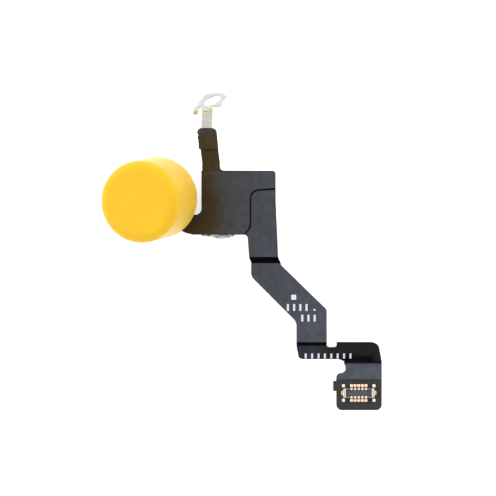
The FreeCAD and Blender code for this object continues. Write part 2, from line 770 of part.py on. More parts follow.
def ground_finger():
    """The finger of the circuit, its textured sleeve, and the stem of the ground lug."""
    left, right, lean = cells.finger_left, cells.finger_left + cells.finger_width, cells.finger_lean
    bent_strip(
        "finger_bend_strip", HERE, finger_lay, -right, -left, cells.flex_thickness,
        cells.finger_zone / (cells.finger_rise * (math.pi / HALF_TURN)), cells.finger_rise, downwards=False,
    )
    plate(
        "flex_finger",
        [
            (left, finger_start),
            (right, finger_start),
            (right - lean, finger_end - 0.10, 0.3),
            (left - lean, finger_end - 0.10, 0.3),
        ],
        flex_bottom,
        cells.flex_thickness,
        finger_place,
    )
    half_sleeve = cells.sleeve_width / 2
    sleeve_foot = finger_end - cells.sleeve_length
    foot_x = finger_x - cells.sleeve_offset + lean * cells.sleeve_length / cells.finger_length
    half_stem = cells.stem_width / 2
    slant = half_stem * tangent(cells.lug_yaw)
    stem_foot = stem_x - cells.stem_lean
    stem = [
        (stem_foot - half_stem, finger_end - cells.stem_overlap),
        (stem_foot + half_stem, finger_end - cells.stem_overlap),
        (stem_x + half_stem, stem_end + slant),
        (stem_x - half_stem, stem_end - slant),
    ]
    plate("ground_lug_stem", stem, flex_top, cells.lug_sheet, finger_place)
    sleeve = start_body("finger_sleeve")
    outline = [
        (foot_x - half_sleeve, sleeve_foot, 0.12),
        (foot_x + half_sleeve, sleeve_foot, 0.12),
        (finger_x + half_sleeve, finger_end, 0.48),
        (finger_x - half_sleeve, finger_end, 0.48),
    ]
    feature = pad(sleeve, polygon(sleeve, outline, lift=flex_top), cells.sleeve_height)
    round_corners(sleeve, feature, outline)
    drill(sleeve, polygon(sleeve, stem, lift=flex_top), cells.lug_sheet)
    keep(sleeve, "finger_sleeve", finger_place)
    # Gold is left bare of tin in a line beside the sleeve and in a patch up to the slanted fold.
    half_gold = half_stem - 0.02
    gold_foot = finger_end + 1.30
    patch = [
        (stem_x - half_gold, gold_foot),
        (stem_x + half_gold, gold_foot),
        (stem_x + half_gold, stem_end + slant - 0.02),
        (stem_x - half_gold, stem_end - slant),
    ]
    gold_level, gold_thickness = flex_top + cells.lug_sheet, 0.02
    plate("lug_gold_patch", patch, gold_level, gold_thickness, finger_place)
    line_x, line_y = stem_x - 0.09, finger_end + 0.09
    block("lug_gold_line", line_x, line_y, gold_level, 2 * half_gold, 0.10, gold_thickness, finger_place)


def ground_lug():
    """The folded end of the lug: an uneven ring for a screw, with a corner beside the fold and a side tab."""
    along_fold = cells.stem_width / 2 / cosine(cells.lug_yaw)
    bent_strip(
        "ground_lug_neck", finger_place, lug_lay, -along_fold, along_fold,
        cells.lug_sheet, cells.lug_fold_radius, cells.lug_angle,
    )
    # Drawn about the fold's middle: -Y runs away from the fold, and X is along it, away from the ring.
    place = lug_place * lug_lay * Placement(Vector(0, -float(lug_zone), 0), Rotation())
    bottom = -cells.lug_sheet / 2
    outline = [
        (along_fold, 0),
        (0.42, -0.67),
        (0.62, -0.89),
        (1.08, 0.41),
        (1.46, -0.09),
        (1.15, -1.16, 0.2),
        (0.60, -1.63),
        (-0.16, -2.80, 0.25),
        (-0.62, -2.84, 0.25),
        (-1.92, -2.02, 0.6),
        (-2.26, -0.76, 0.1),
        (-1.84, -0.44, 0.3),
        (-1.45, 0.52, 0.1),
        (-1.10, 0.58, 0.1),
        (-0.68, 0.12),
        (-0.62, 0),
    ]
    body = start_body("ground_lug_ring")
    feature = pad(body, polygon(body, outline, lift=bottom), cells.lug_sheet)
    round_corners(body, feature, [p for p in outline if len(p) == 3])
    hole = circle(body, -cells.ring_side, -cells.ring_reach, cells.ring_hole, lift=bottom)
    drill(body, hole, cells.lug_sheet)
    keep(body, "ground_lug_ring", place)
    tip = [(0.84, -0.33), (1.08, 0.41), (1.46, -0.09), (1.27, -0.72)]
    plate("lug_gold_tip", tip, cells.lug_sheet / 2, 0.03, place)


def arm_bend_strip():
    """The arm's bend zone: a wide bent strip, trimmed to the arm's two straight edges."""
    wide = 3.0
    radius = cells.arm_zone / (cells.flash_tilt * (math.pi / HALF_TURN))
    strip = bent_strip(
        "arm_bend_blank", HERE, arm_lay, -wide, wide, cells.flex_thickness, radius, cells.flash_tilt
    )
    sub_parts.remove(strip)
    window = doc.addObject("Part::Box", "arm_window")
    bind(window, "Length", 4.0)
    bind(window, "Width", cells.arm_width)
    bind(window, "Height", 2.0)
    bind(window, "Placement.Base.x", cells.arm_bend_x - 2.0)
    bind(window, "Placement.Base.y", arm_bottom)
    bind(window, "Placement.Base.z", level - 1.0)
    trimmed = doc.addObject("Part::Common", "arm_trimmed")
    trimmed.Base, trimmed.Tool = strip, window
    return keep(trimmed, "arm_bend_strip", HERE)


def flash_circuit():
    """The circuit's round end with the stub of its arm, drawn in the flat pattern."""
    body = start_body("flex_flash_pad")
    pad(body, circle(body, flash_x, flash_y, cells.flash_pad_radius, lift=flex_bottom), cells.flex_thickness)
    stub = [
        (on_arm_line(arm_far, arm_bottom), arm_bottom),
        (on_arm_line(arm_far, arm_top), arm_top),
        (flash_x + 1.2, arm_top),
        (flash_x + 1.0, flash_y - 2.6),
        (flash_x + 2.1, flash_y - 3.22),
    ]
    pad(body, polygon(body, stub, lift=flex_bottom), cells.flex_thickness)
    return keep(body, "flex_flash_pad", flash_place)


def flash_module():
    """What the cap hides: stiffener, emitter board and light sources, lens holder, lens and seal."""
    top = half_flex
    steel = cells.steel_thickness
    disc("flash_stiffener", cells.flash_steel_radius, -half_flex - steel, steel, flash_axis)
    board_top = top + cells.emitter_board_height
    block(
        "emitter_board", 0, 0, top, cells.emitter_board, cells.emitter_board, cells.emitter_board_height,
        flash_axis, 0.15,
    )
    half_step = cells.emitter_spacing / 2
    for label, x in (("cool_emitters", -half_step), ("warm_emitters", half_step)):
        grid(
            label, x, -half_step, board_top, cells.emitter_size, cells.emitter_size, cells.emitter_height,
            flash_axis, "Y_Axis", cells.emitter_spacing, 2,
        )
    grid("flash_capacitors", -2.18, -0.55, top, 0.32, 0.60, 0.30, flash_axis, "Y_Axis", 1.10, 2)
    block("flash_thermistor", 2.18, 0, top, 0.32, 0.60, 0.26, flash_axis)
    holder, bore, lens = cells.holder_radius, cells.holder_bore, cells.lens_radius
    holder_top, seat = top + cells.holder_height, top + cells.lens_seat
    seal_low, seal_top = top + cells.seal_low, top + cells.seal_low + cells.seal_height
    groove = 0.12
    turned(
        "lens_holder",
        [
            (bore, top),
            (holder, top),
            (holder, seal_low),
            (holder - groove, seal_low),
            (holder - groove, seal_top),
            (holder, seal_top),
            (holder, holder_top - 0.15),
            (holder - 0.15, holder_top),
            (lens + 0.03, holder_top),
            (lens + 0.03, seat),
            (bore - 0.15, seat),
            (bore, seat - 0.35),
        ],
        flash_axis,
    )
    turned(
        "lens_seal",
        [
            (holder - groove, seal_low),
            (cells.seal_radius - 0.08, seal_low),
            (cells.seal_radius, seal_low + cells.seal_height / 2),
            (cells.seal_radius - 0.08, seal_top),
            (holder - groove, seal_top),
        ],
        flash_axis,
    )
    flash_lens(seat)


def flash_lens(seat):
    """A clear disc with a shallow dome on top and concentric prism rings underneath."""
    lens, rim = cells.lens_radius, seat + cells.lens_thickness
    ring, depth, first = 0.42, 0.16, 5
    under = []
    for number in range(first, 0, -1):
        outer = number * ring
        under.append((outer, seat + 0.20))
        under.append((outer - 0.04, seat + 0.20 - depth))
    dome = [(0, seat + 0.20), (0, rim + 0.16), (1.3, rim + 0.12), (2.3, rim)]
    flange = [(lens, rim), (lens, seat), (2.6, seat), (2.6, seat + 0.20)]
    turned("flash_lens", dome + flange + under, flash_axis)


def protective_cap():
    rim = half_flex + cells.cap_rim_gap
    end = rim + cells.cap_length
    outer, inner = cells.cap_radius, cells.cap_radius - cells.cap_wall
    turned(
        "protective_cap",
        [
            (0, end),
            (outer, end),
            (outer, rim),
            (inner, rim),
            (inner, end - cells.cap_top),
            (0, end - cells.cap_top),
        ],
        flash_axis,
        rounding=(outer, end, cells.cap_round),
    )


def microphone():
    """The microphone under the panel, and the foam gasket that seals its sound port."""
    x, y = cells.mic_x, cells.mic_y
    base_bottom = flex_bottom - cells.mic_base_height
    can_bottom = base_bottom - cells.mic_can_height
    block("mic_base", x, y, base_bottom, cells.mic_length, cells.mic_width, cells.mic_base_height)
    can = start_body("mic_can")
    half_x, half_y = cells.mic_length / 2 - 0.05, cells.mic_width / 2 - 0.05
    sheet_metal = 0.12
    outline = rectangle(x, y, half_x, half_y)
    feature = pad(can, polygon(can, outline, lift=can_bottom), cells.mic_can_height)
    feature = round_corners(can, feature, [(*c, 0.22) for c in outline])
    hollow = rectangle(x, y, half_x - sheet_metal, half_y - sheet_metal)
    drill(can, polygon(can, hollow, lift=can_bottom + sheet_metal), cells.mic_can_height)
    drill(can, circle(can, x, y, cells.port_radius, lift=can_bottom), sheet_metal)
    keep(can, "mic_can", HERE)
    block("mic_chip", x, y + 0.1, base_bottom - 0.30, 1.10, 1.10, 0.30)
    mesh_thickness = 0.04
    mesh_bottom = can_bottom - mesh_thickness
    block("mic_mesh", x, y, mesh_bottom, cells.mic_length, cells.mic_width, mesh_thickness)
    gasket = start_body("mic_gasket")
    half_x, half_y = half_x + 0.05 + cells.gasket_overhang, half_y + 0.05 + cells.gasket_overhang
    outline = rectangle(x, y, half_x, half_y)
    pad(gasket, polygon(gasket, outline, lift=0), mesh_bottom)
    drill(gasket, circle(gasket, x, y, cells.gasket_port, lift=0), mesh_bottom)
    keep(gasket, "mic_gasket", HERE)


def panel_back():
    """The steel plate behind the panel, cut out round the microphone, and its adhesive."""
    margin = 0.25
    clear = cells.gasket_overhang + 0.06
    cut_right = cells.mic_x + cells.mic_length / 2 + clear
    cut_top = cells.mic_y + cells.mic_width / 2 + clear
    outline = [
        (-half_width + margin, half_height - margin, 0.3),
        (half_width - margin, half_height - margin, 0.3),
        (half_width - margin, -half_height + margin, 0.3),
        (cut_right, -half_height + margin),
        (cut_right, cut_top),
        (-half_width + margin, cut_top),
    ]
    steel_bottom = flex_bottom - cells.steel_thickness
    adhesive = 0.05
    plate("panel_stiffener", outline, steel_bottom, cells.steel_thickness)
    plate("panel_adhesive", outline, steel_bottom - adhesive, adhesive)


def printed_marks():
    """Plain bars and a dot in white ink, where such a circuit carries its production marks."""
    wide, high, ink = 0.20, 0.66, cells.ink_thickness
    top = flex_top + cells.film_thickness
    step = 0.60
    grid("tail_marks_upper", 4.78, -10.15, top, wide, high, ink, tail_place, "X_Axis", step, 4)
    grid("tail_marks_lower", 6.17, -11.18, top, wide, high, ink, tail_place, "X_Axis", step, 3)
    block("tail_mark_square", 5.34, -9.16, top, 0.48, 0.48, ink, tail_place)
    block("tail_mark_dot", 7.35, -10.38, top, 0.18, 0.18, ink, tail_place)
    row = joggle_start - 1.42
    grid("joggle_marks", 6.52, row, flex_top, wide, 0.70, ink, joggle_place, "X_Axis", 0.62, 8)


def stand_on_origin():
    """Moves every sub-part and joint so that the origin is under the middle of the footprint."""
    doc.recompute()
    box = Part.makeCompound([s.Shape for s in sub_parts]).optimalBoundingBox(False)
    shift = Vector(-box.Center.x, -box.Center.y, -box.ZMin)
    for item in sub_parts:
        item.Placement = Placement(shift, Rotation()) * item.Placement
    for joint in joints.values():
        joint["point"] = joint["point"] + shift
    doc.recompute()
    return shift


def check():
    for item in doc.Objects:
        if any(word in item.State for word in ("Invalid", "Error")):
            raise RuntimeError(f"{item.Label} failed: {item.State}")
    for item in sub_parts:
        if item.Shape.isNull() or not item.Shape.isValid() or not item.Shape.Solids:
            raise RuntimeError(f"{item.Label} has no valid shape")


def write_files():
    os.makedirs("parts", exist_ok=True)
    for item in sub_parts:
        item.Shape.exportStep(f"parts/{item.Label}.step")


flex_panel()
panel_film()
tail_root_film()
tail_bend_strip()
tail()
joggle()
connector_tab()
plug()
ground_finger()
ground_lug()
arm_bend_strip()
flash_circuit()
flash_module()
protective_cap()
microphone()
panel_back()
printed_marks()
shift = stand_on_origin()
check()
write_files()
print(len(sub_parts), "sub-parts; shift", shift)
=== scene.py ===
import json
import math

import bmesh
import bpy
from mathutils import Matrix, Vector, noise

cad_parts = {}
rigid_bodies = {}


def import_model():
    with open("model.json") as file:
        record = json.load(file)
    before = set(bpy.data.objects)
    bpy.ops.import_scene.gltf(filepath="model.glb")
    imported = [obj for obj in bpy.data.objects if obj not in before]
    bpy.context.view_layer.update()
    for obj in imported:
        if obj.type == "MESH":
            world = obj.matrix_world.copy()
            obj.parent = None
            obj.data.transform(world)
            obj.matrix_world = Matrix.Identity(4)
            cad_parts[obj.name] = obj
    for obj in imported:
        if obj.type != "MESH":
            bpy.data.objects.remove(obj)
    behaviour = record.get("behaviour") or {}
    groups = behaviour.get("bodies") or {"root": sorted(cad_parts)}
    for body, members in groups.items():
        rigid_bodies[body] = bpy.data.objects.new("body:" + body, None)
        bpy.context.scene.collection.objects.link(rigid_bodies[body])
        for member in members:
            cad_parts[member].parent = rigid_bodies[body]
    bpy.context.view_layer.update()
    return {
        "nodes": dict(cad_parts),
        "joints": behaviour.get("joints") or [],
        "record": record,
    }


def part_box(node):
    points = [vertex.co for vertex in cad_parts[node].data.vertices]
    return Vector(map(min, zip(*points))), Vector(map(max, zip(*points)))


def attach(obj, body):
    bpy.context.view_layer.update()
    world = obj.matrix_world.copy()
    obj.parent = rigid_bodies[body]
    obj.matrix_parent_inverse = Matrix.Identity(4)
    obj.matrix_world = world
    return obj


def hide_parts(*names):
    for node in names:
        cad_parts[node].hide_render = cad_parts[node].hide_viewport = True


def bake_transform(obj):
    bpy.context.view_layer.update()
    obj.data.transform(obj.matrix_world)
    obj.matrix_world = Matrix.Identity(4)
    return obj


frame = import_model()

scene = bpy.context.scene

# ---- frames: millimetres in the circuit's flat pattern -----------------------------------------

MM = 0.001
FLEX = 0.14
FILM = 0.05
HALF_FLEX = FLEX / 2
BENT_FILM_TOP = HALF_FLEX + FILM + 0.003  # a hair above the flat films that it runs over


def centre(node):
    low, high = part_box(node)
    return (low + high) / 2


joints = {j["name"]: j for j in frame["joints"]}
panel_middle = centre("panel_stiffener")
circuit_level = joints["tail_bend"]["pos_m"][2]
PATTERN = Matrix.Translation((panel_middle.x, panel_middle.y, circuit_level)) @ Matrix.Scale(MM, 4)
HERE = Matrix.Identity(4)


class Fold:
    """One bend zone. Its own frame has the bend axis along X and the far land towards -Y."""

    def __init__(self, parent, x, y, z, turn, zone, angle):
        self.parent = parent
        self.lay = Matrix.Translation((x, y, z)) @ Matrix.Rotation(math.radians(turn), 4, "Z")
        self.zone = zone
        self.angle = math.radians(angle)

    def carry(self, run):
        """Carries flat points at y = -run, in the zone's own frame, to where the bend takes them."""
        run = min(max(run, 0.0), self.zone)
        if abs(self.angle) < 1e-6:
            return Matrix.Identity(4)
        radius = self.zone / self.angle
        turn = self.angle * run / self.zone
        slope = Matrix.Translation((0, -radius * math.sin(turn), -radius * (1 - math.cos(turn))))
        return slope @ Matrix.Rotation(turn, 4, "X") @ Matrix.Translation((0, run, 0))

    def far(self):
        """The frame of the flat pattern beyond the zone."""
        return self.parent @ self.lay @ self.carry(self.zone) @ self.lay.inverted()

    def bent(self, x, y, z):
        """Where the bend takes a point of the flat pattern."""
        flat = self.lay.inverted() @ Vector((x, y, z))
        return self.parent @ self.lay @ (self.carry(-flat.y) @ flat)

    def point(self, x, run, z):
        return self.parent @ self.lay @ (self.carry(run) @ Vector((x, -run, z)))


# The arm bends about a line that leans off square; the flash's middle is ahead of that line and aside.
LEAN = 16.0
ARM_LINE = Vector((-4.41, -2.13, 0))
ARM_ZONE = 0.50
CAP_TILT = 18
FLASH_AHEAD = 2.53
FLASH_ASIDE = 3.45
lean = Vector((-math.cos(math.radians(LEAN)), -math.sin(math.radians(LEAN)), 0))
along_line = Vector((lean.y, -lean.x, 0))
arm_near = ARM_LINE - lean * ARM_ZONE / 2
arm_fold = Fold(HERE, arm_near.x, arm_near.y, 0, LEAN - 90, ARM_ZONE, CAP_TILT)
flash_spot = ARM_LINE + lean * FLASH_AHEAD + along_line * FLASH_ASIDE
FLASH = arm_fold.far() @ Matrix.Translation(flash_spot)

# The finger rises a little; it drifts left by FINGER_LEAN on its way to the ground lug.
FINGER_ROOT = 3.50
FINGER_ZONE = 0.40
FINGER_LENGTH = 3.34
FINGER_RISE = 4.3
finger_fold = Fold(HERE, 0, FINGER_ROOT, 0, 180, FINGER_ZONE, -FINGER_RISE)
FINGER = finger_fold.far()
FINGER_END = FINGER_ROOT + FINGER_ZONE + FINGER_LENGTH
FINGER_LEFT = -3.52
FINGER_WIDTH = 1.72
FINGER_LEAN = 0.42
FINGER_X = FINGER_LEFT + FINGER_WIDTH / 2 - FINGER_LEAN
STEM_X = FINGER_X + 0.08
STEM_WIDTH = 1.06
STEM_LENGTH = 1.88
LUG_SHEET = 0.10
LUG_YAW = 22.0
LUG_ANGLE = 65
LUG_ZONE = 0.22 * math.radians(LUG_ANGLE)
STEM_END = FINGER_END + STEM_LENGTH - STEM_WIDTH / 2 * math.tan(math.radians(LUG_YAW))
lug_fold = Fold(FINGER, STEM_X, STEM_END, HALF_FLEX + LUG_SHEET / 2, LUG_YAW + 180, LUG_ZONE, LUG_ANGLE)

# The tail lies level, the joggle slopes down from it, and the connector tab is level again.
TAIL_TOP = -5.29
TAIL_ZONE = 0.55
tail_fold = Fold(HERE, 0, TAIL_TOP, 0, 0, TAIL_ZONE, 0)
TAIL_END = -13.54
JOGGLE_ANGLE = 45
JOGGLE_ARC = 0.40 * math.radians(JOGGLE_ANGLE)
JOGGLE_LENGTH = 2.20
joggle_fold = Fold(HERE, 0, TAIL_END, 0, 0, JOGGLE_ARC, JOGGLE_ANGLE)
JOGGLE = joggle_fold.far()
JOGGLE_START = TAIL_END - JOGGLE_ARC
JOGGLE_END = JOGGLE_START - JOGGLE_LENGTH
tab_fold = Fold(JOGGLE, 0, JOGGLE_END, 0, 0, JOGGLE_ARC, -JOGGLE_ANGLE)
TAB = tab_fold.far()
TAB_START = JOGGLE_END - JOGGLE_ARC
PLUG_X = 11.68
PLUG_INSET = 2.83
PLUG = TAB @ Matrix.Translation((PLUG_X, TAB_START - PLUG_INSET, HALF_FLEX))


def row(place, x, y, z):
    """A point of a land's frame in the row frame, in metres."""
    return PATTERN @ (place @ Vector((x, y, z)))


# ---- camera, light, floor ----------------------------------------------------------------------


def linear(red, green, blue):
    """An 8-bit sRGB colour as linear values."""
    values = [c / 255 for c in (red, green, blue)]
    return tuple(v / 12.92 if v <= 0.04045 else ((v + 0.055) / 1.055) ** 2.4 for v in values)


def add_camera():
    """A long lens straight above the part, which frames frame_width at frame_level."""
    data = bpy.data.cameras.new("camera")
    camera = bpy.data.objects.new("camera", data)
    scene.collection.objects.link(camera)
    height = 0.42
    frame_width = 48.155 * MM
    frame_level = 0.001
    middle = PATTERN @ Vector((0.915, -4.395, 0))
    camera.location = (middle.x, middle.y, height)
    data.sensor_width = 36
    data.lens = data.sensor_width * (height - frame_level) / frame_width
    data.clip_start = 0.01
    data.clip_end = 10
    scene.camera = camera


def add_area(name, place, size, power):
    """A round soft light that points at the middle of the part."""
    data = bpy.data.lights.new(name, "AREA")
    data.shape = "DISK"
    data.size = size
    data.energy = power
    light = bpy.data.objects.new(name, data)
    scene.collection.objects.link(light)
    light.location = place
    light.rotation_euler = (-Vector(place)).to_track_quat("-Z", "Y").to_euler()


def add_world():
    """A soft studio tent: bright all round, dimmer overhead, and brighter at the left and behind."""
    level, brighter_way = 1.75, (-0.42, 0.28, 0)
    stops = ((0.0, 1.0), (0.60, 0.95), (0.85, 0.66), (1.0, 0.42))
    world = bpy.data.worlds.new("studio")
    scene.world = world
    world.use_nodes = True
    nodes, links = world.node_tree.nodes, world.node_tree.links
    coordinate = nodes.new("ShaderNodeTexCoord")
    split = nodes.new("ShaderNodeSeparateXYZ")
    ramp = nodes.new("ShaderNodeValToRGB")
    links.new(coordinate.outputs["Generated"], split.inputs[0])
    links.new(split.outputs["Z"], ramp.inputs[0])
    elements = ramp.color_ramp.elements
    for spot, _ in stops[1:-1]:
        elements.new(spot)
    for element, (spot, value) in zip(elements, stops):
        element.position = spot
        element.color = (value, value, value * 1.01, 1)
    side = nodes.new("ShaderNodeVectorMath")
    side.operation = "DOT_PRODUCT"
    side.inputs[1].default_value = brighter_way
    links.new(coordinate.outputs["Generated"], side.inputs[0])
    strength = nodes.new("ShaderNodeMath")
    strength.inputs[1].default_value = level
    links.new(side.outputs["Value"], strength.inputs[0])
    background = nodes["Background"]
    links.new(ramp.outputs[0], background.inputs["Color"])
    links.new(strength.outputs[0], background.inputs["Strength"])


def add_floor():
    """A wide white floor at the part's lowest level, slightly lit from within so that it stays white."""
    mesh = bpy.data.meshes.new("floor")
    side = 3.0
    corners = [(-side, -side, 0), (side, -side, 0), (side, side, 0), (-side, side, 0)]
    mesh.from_pydata(corners, [], [(0, 1, 2, 3)])
    floor = bpy.data.objects.new("floor", mesh)
    scene.collection.objects.link(floor)
    white = finish(
        "floor_white", (0.9, 0.9, 0.9), 0.9, specular=0.1, Emission_Color=(1, 1, 1, 1), Emission_Strength=0.3,
    )
    mesh.materials.append(white)


# ---- materials ---------------------------------------------------------------------------------


def colour_field(nodes, links, coordinate, about, stops):
    """A colour that changes with distance from a point of the flat pattern, in millimetres.

    about is (x, y, how much x counts, how much y counts); stops are (distance, colour), nearest first.
    """
    x, y, share_x, share_y = about
    middle = PATTERN @ Vector((x, y, 0))
    away = nodes.new("ShaderNodeVectorMath")
    away.operation = "SUBTRACT"
    away.inputs[1].default_value = middle
    links.new(coordinate, away.inputs[0])
    squash = nodes.new("ShaderNodeVectorMath")
    squash.operation = "MULTIPLY"
    squash.inputs[1].default_value = (share_x, share_y, 0)
    links.new(away.outputs[0], squash.inputs[0])
    distance = nodes.new("ShaderNodeVectorMath")
    distance.operation = "LENGTH"
    links.new(squash.outputs[0], distance.inputs[0])
    first, last = stops[0][0], stops[-1][0]
    spread = nodes.new("ShaderNodeMapRange")
    links.new(distance.outputs["Value"], spread.inputs["Value"])
    spread.inputs["From Min"].default_value = first * MM
    spread.inputs["From Max"].default_value = last * MM
    ramp = nodes.new("ShaderNodeValToRGB")
    links.new(spread.outputs[0], ramp.inputs[0])
    elements = ramp.color_ramp.elements
    for _ in stops[2:]:
        elements.new(0.5)
    for element, (reach, colour) in zip(elements, stops):
        element.position = (reach - first) / (last - first)
        element.color = (*colour, 1)
    return ramp.outputs[0]


def finish(
    name, colour, roughness, metallic=0.0, specular=0.5, vary=0.0, grain=900.0, contrast=0.2, bump=0.0,
    bump_grain=6000.0, rough_vary=0.0, stretch=(1, 1, 1), detail=3.0, about=(0, 0, 1, 1), stops=None,
    **sockets,
):
    """A procedural finish. vary and rough_vary spread colour and roughness over patches of 1/grain metres;
    bump is a relief's height in metres, with features of 1/bump_grain metres; about and stops are those of
    colour_field, and replace the plain colour."""
    material = bpy.data.materials.new(name)
    material.use_nodes = True
    nodes, links = material.node_tree.nodes, material.node_tree.links
    shader = nodes["Principled BSDF"]
    shader.inputs["Base Color"].default_value = (*colour, 1)
    shader.inputs["Roughness"].default_value = roughness
    shader.inputs["Metallic"].default_value = metallic
    shader.inputs["Specular IOR Level"].default_value = specular
    for socket, value in sockets.items():
        shader.inputs[socket.replace("_", " ")].default_value = value
    coordinate = nodes.new("ShaderNodeTexCoord")
    mapping = nodes.new("ShaderNodeMapping")
    mapping.inputs["Scale"].default_value = stretch
    links.new(coordinate.outputs["Object"], mapping.inputs[0])

    def cloud(scale, low, high):
        """Noise spread between two values, with most of it at one or the other as contrast falls."""
        texture = nodes.new("ShaderNodeTexNoise")
        texture.inputs["Scale"].default_value = scale
        texture.inputs["Detail"].default_value = detail
        links.new(mapping.outputs[0], texture.inputs["Vector"])
        spread = nodes.new("ShaderNodeMapRange")
        links.new(texture.outputs["Fac"], spread.inputs["Value"])
        spread.inputs["From Min"].default_value = 0.5 - contrast
        spread.inputs["From Max"].default_value = 0.5 + contrast
        spread.inputs["To Min"].default_value = low
        spread.inputs["To Max"].default_value = high
        return spread.outputs[0]

    if vary:
        mix = nodes.new("ShaderNodeMix")
        mix.data_type = "RGBA"
        mix.blend_type = "MULTIPLY"
        mix.inputs["Factor"].default_value = 1
        colour_a, colour_b = mix.inputs[6], mix.inputs[7]
        if stops:
            links.new(colour_field(nodes, links, coordinate.outputs["Object"], about, stops), colour_a)
        else:
            colour_a.default_value = (*colour, 1)
        links.new(cloud(grain, 1 - vary, 1 + vary), colour_b)
        links.new(mix.outputs[2], shader.inputs["Base Color"])
    if rough_vary:
        low, high = max(roughness - rough_vary, 0.02), min(roughness + rough_vary, 1)
        links.new(cloud(grain * 1.7, low, high), shader.inputs["Roughness"])
    if bump:
        relief = nodes.new("ShaderNodeBump")
        relief.inputs["Distance"].default_value = bump
        links.new(cloud(bump_grain, 0, 1), relief.inputs["Height"])
        links.new(relief.outputs[0], shader.inputs["Normal"])
    return material


